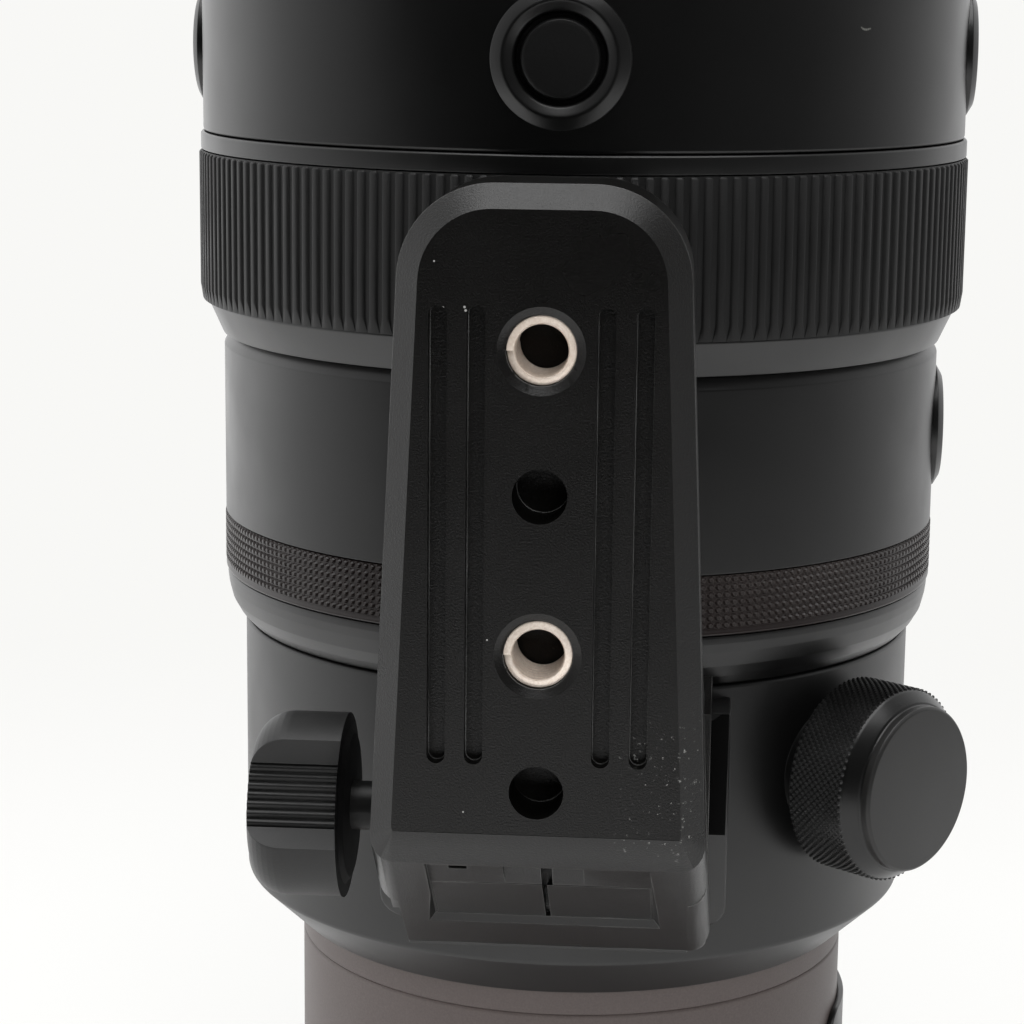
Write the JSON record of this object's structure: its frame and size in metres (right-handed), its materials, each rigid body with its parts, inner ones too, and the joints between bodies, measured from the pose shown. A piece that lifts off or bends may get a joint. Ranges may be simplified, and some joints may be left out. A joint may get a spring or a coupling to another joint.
{
  "type": "camera zoom lens",
  "caption": "Long camera lens with a ribbed zoom ring, knurled control ring, rotating tripod collar, lock knob and a long clamped foot with threaded inserts.",
  "frame": {"origin": "centre of the bayonet's flange face, on the optical axis", "axes": "+Z along the optical axis to the front glass; -Y towards the tripod foot's face; +X to the lens's switch side"},
  "size_m": [0.1072, 0.1334, 0.2833],
  "materials": {
    "black_metal": "satin",
    "rear_black": "matte",
    "rubber_grip": "matte",
    "knurled_black": "satin",
    "foot_coat": "powder coat",
    "collar_coat": "satin",
    "black_plastic": "matte",
    "gloss_black": "gloss",
    "inner_alloy": "satin",
    "bright_steel": "brushed",
    "mount_chrome": "polished",
    "pin_gold": "polished",
    "seal_rubber": "matte",
    "board_green": "gloss",
    "coil_copper": "satin",
    "blade_black": "matte",
    "coated_glass": "polished"
  },
  "bodies": {
    "lens_body": {"bayonet_mount": "mount_chrome", "mount_screws": "bright_steel", "mount_gasket": "seal_rubber", "contact_block": "black_plastic", "contact_pins": "pin_gold", "rear_cell": "inner_alloy", "rear_element": "coated_glass", "rear_barrel": "rear_black", "switch_panel": "black_plastic", "main_board": "board_green", "base_casing": "black_metal", "collar_retainer": "bright_steel", "mid_barrel": "black_metal", "button_bezels": "black_metal", "guide_tube": "inner_alloy", "focus_rods": "bright_steel", "focus_magnet": "bright_steel", "iris_base": "inner_alloy", "front_barrel": "black_metal", "front_cell": "inner_alloy", "front_element": "coated_glass", "second_element": "coated_glass", "front_retainer": "black_metal", "filter_ring": "black_metal"},
    "zoom": {"zoom_ring": "black_metal", "zoom_grip": "rubber_grip", "zoom_key": "bright_steel", "cam_barrel": "inner_alloy"},
    "variator": {"variator_cell": "inner_alloy", "variator_lens": "coated_glass", "variator_rollers": "pin_gold"},
    "focus": {"focus_cell": "black_plastic", "focus_lens": "coated_glass", "focus_coil": "coil_copper"},
    "control": {"control_ring": "knurled_black"},
    "iris": {"iris_drive_ring": "inner_alloy"},
    "collar": {"collar_ring": "collar_coat"},
    "lock": {"lock_knob": "collar_coat", "lock_screw": "bright_steel"},
    "shoe": {"brake_shoe": "black_plastic"},
    "foot": {"tripod_foot": "foot_coat", "foot_inserts": "bright_steel"},
    "latch": {"release_latch": "foot_coat"},
    "jaw": {"clamp_jaw": "foot_coat"},
    "clamp": {"clamp_knob": "black_plastic", "clamp_screw": "bright_steel"},
    "mid_press": {"mid_button": "black_plastic"},
    "focus_switch": {"focus_mode_switch": "black_plastic"},
    "limit_switch": {"limiter_switch": "black_plastic"},
    "blade_1": {"iris_blade_1": "blade_black"},
    "blade_2": {"iris_blade_2": "blade_black"},
    "blade_3": {"iris_blade_3": "blade_black"},
    "blade_4": {"iris_blade_4": "blade_black"},
    "blade_5": {"iris_blade_5": "blade_black"},
    "blade_6": {"iris_blade_6": "blade_black"},
    "blade_7": {"iris_blade_7": "blade_black"},
    "front_press_1": {"front_button_1": "black_plastic"},
    "front_press_2": {"front_button_2": "black_plastic"},
    "front_press_3": {"front_button_3": "black_plastic"},
    "front_press_4": {"front_button_4": "black_plastic"}
  },
  "joints": [
    {"name": "zoom_turn", "type": "hinge", "parent": "lens_body", "child": "zoom", "pos_m": [0, 0, 0.148], "axis": [0, 0, 1], "range_deg": [0, 70]},
    {"name": "variator_slide", "type": "slide", "parent": "lens_body", "child": "variator", "axis": [0, 0, 1], "range_m": [0, 0.03]},
    {"name": "focus_slide", "type": "slide", "parent": "lens_body", "child": "focus", "axis": [0, 0, 1], "range_m": [0, 0.014]},
    {"name": "control_turn", "type": "hinge", "parent": "lens_body", "child": "control", "pos_m": [0, 0, 0.105], "axis": [0, 0, 1], "continuous": true},
    {"name": "iris_turn", "type": "hinge", "parent": "lens_body", "child": "iris", "pos_m": [0, 0, 0.1], "axis": [0, 0, 1], "range_deg": [0, 24]},
    {"name": "collar_turn", "type": "hinge", "parent": "lens_body", "child": "collar", "pos_m": [0, 0, 0.075], "axis": [0, 0, 1], "continuous": true},
    {"name": "lock_turn", "type": "hinge", "parent": "collar", "child": "lock", "pos_m": [0, 0, 0.08], "axis": [0.766, -0.6428, 0], "range_deg": [0, 144]},
    {"name": "shoe_slide", "type": "slide", "parent": "collar", "child": "shoe", "axis": [0.766, -0.6428, 0], "range_m": [0, 0.0004]},
    {"name": "foot_slide", "type": "slide", "parent": "collar", "child": "foot", "axis": [0, 0, -1], "range_m": [0, 0.02]},
    {"name": "clamp_turn", "type": "hinge", "parent": "foot", "child": "clamp", "pos_m": [0, -0.0603, 0.082], "axis": [-1, 0, 0], "range_deg": [0, 540]},
    {"name": "jaw_slide", "type": "slide", "parent": "foot", "child": "jaw", "axis": [-1, 0, 0], "range_m": [0, 0.0015]},
    {"name": "latch_slide", "type": "slide", "parent": "foot", "child": "latch", "axis": [0, -1, 0], "range_m": [0, 0.0019], "stiffness_N_per_m": 400, "springref_m": -0.002},
    {"name": "mid_button_press", "type": "slide", "parent": "lens_body", "child": "mid_press", "axis": [-1, 0, 0], "range_m": [0, 0.0008], "stiffness_N_per_m": 600, "springref_m": -0.0005},
    {"name": "focus_switch_slide", "type": "slide", "parent": "lens_body", "child": "focus_switch", "axis": [0, 0, 1], "range_m": [0, 0.004]},
    {"name": "limit_switch_slide", "type": "slide", "parent": "lens_body", "child": "limit_switch", "axis": [0, 0, 1], "range_m": [0, 0.004]},
    {"name": "blade_1_turn", "type": "hinge", "parent": "lens_body", "child": "blade_1", "pos_m": [0.0312, 0, 0.1], "axis": [0, 0, 1], "range_deg": [0, 28]},
    {"name": "blade_2_turn", "type": "hinge", "parent": "lens_body", "child": "blade_2", "pos_m": [0.01945, 0.02439, 0.1], "axis": [0, 0, 1], "range_deg": [0, 28]},
    {"name": "blade_3_turn", "type": "hinge", "parent": "lens_body", "child": "blade_3", "pos_m": [-0.00694, 0.03042, 0.1], "axis": [0, 0, 1], "range_deg": [0, 28]},
    {"name": "blade_4_turn", "type": "hinge", "parent": "lens_body", "child": "blade_4", "pos_m": [-0.02811, 0.01354, 0.1], "axis": [0, 0, 1], "range_deg": [0, 28]},
    {"name": "blade_5_turn", "type": "hinge", "parent": "lens_body", "child": "blade_5", "pos_m": [-0.02811, -0.01354, 0.1], "axis": [0, 0, 1], "range_deg": [0, 28]},
    {"name": "blade_6_turn", "type": "hinge", "parent": "lens_body", "child": "blade_6", "pos_m": [-0.00694, -0.03042, 0.1], "axis": [0, 0, 1], "range_deg": [0, 28]},
    {"name": "blade_7_turn", "type": "hinge", "parent": "lens_body", "child": "blade_7", "pos_m": [0.01945, -0.02439, 0.1], "axis": [0, 0, 1], "range_deg": [0, 28]},
    {"name": "front_button_1_press", "type": "slide", "parent": "lens_body", "child": "front_press_1", "axis": [0, 1, 0], "range_m": [0, 0.0008], "stiffness_N_per_m": 600, "springref_m": -0.0005},
    {"name": "front_button_2_press", "type": "slide", "parent": "lens_body", "child": "front_press_2", "axis": [-1, 0, 0], "range_m": [0, 0.0008], "stiffness_N_per_m": 600, "springref_m": -0.0005},
    {"name": "front_button_3_press", "type": "slide", "parent": "lens_body", "child": "front_press_3", "axis": [0, -1, 0], "range_m": [0, 0.0008], "stiffness_N_per_m": 600, "springref_m": -0.0005},
    {"name": "front_button_4_press", "type": "slide", "parent": "lens_body", "child": "front_press_4", "axis": [1, 0, 0], "range_m": [0, 0.0008], "stiffness_N_per_m": 600, "springref_m": -0.0005}
  ],
  "couplings": [
    {"joint": "variator_slide", "follows": "zoom_turn", "m_per_rad": 0.024555},
    {"joint": "shoe_slide", "follows": "lock_turn", "m_per_rad": 0.00015915},
    {"joint": "jaw_slide", "follows": "clamp_turn", "m_per_rad": 0.00015915},
    {"joint": "blade_1_turn", "follows": "iris_turn", "ratio": 1.1667},
    {"joint": "blade_2_turn", "follows": "iris_turn", "ratio": 1.1667},
    {"joint": "blade_3_turn", "follows": "iris_turn", "ratio": 1.1667},
    {"joint": "blade_4_turn", "follows": "iris_turn", "ratio": 1.1667},
    {"joint": "blade_5_turn", "follows": "iris_turn", "ratio": 1.1667},
    {"joint": "blade_6_turn", "follows": "iris_turn", "ratio": 1.1667},
    {"joint": "blade_7_turn", "follows": "iris_turn", "ratio": 1.1667}
  ]
}
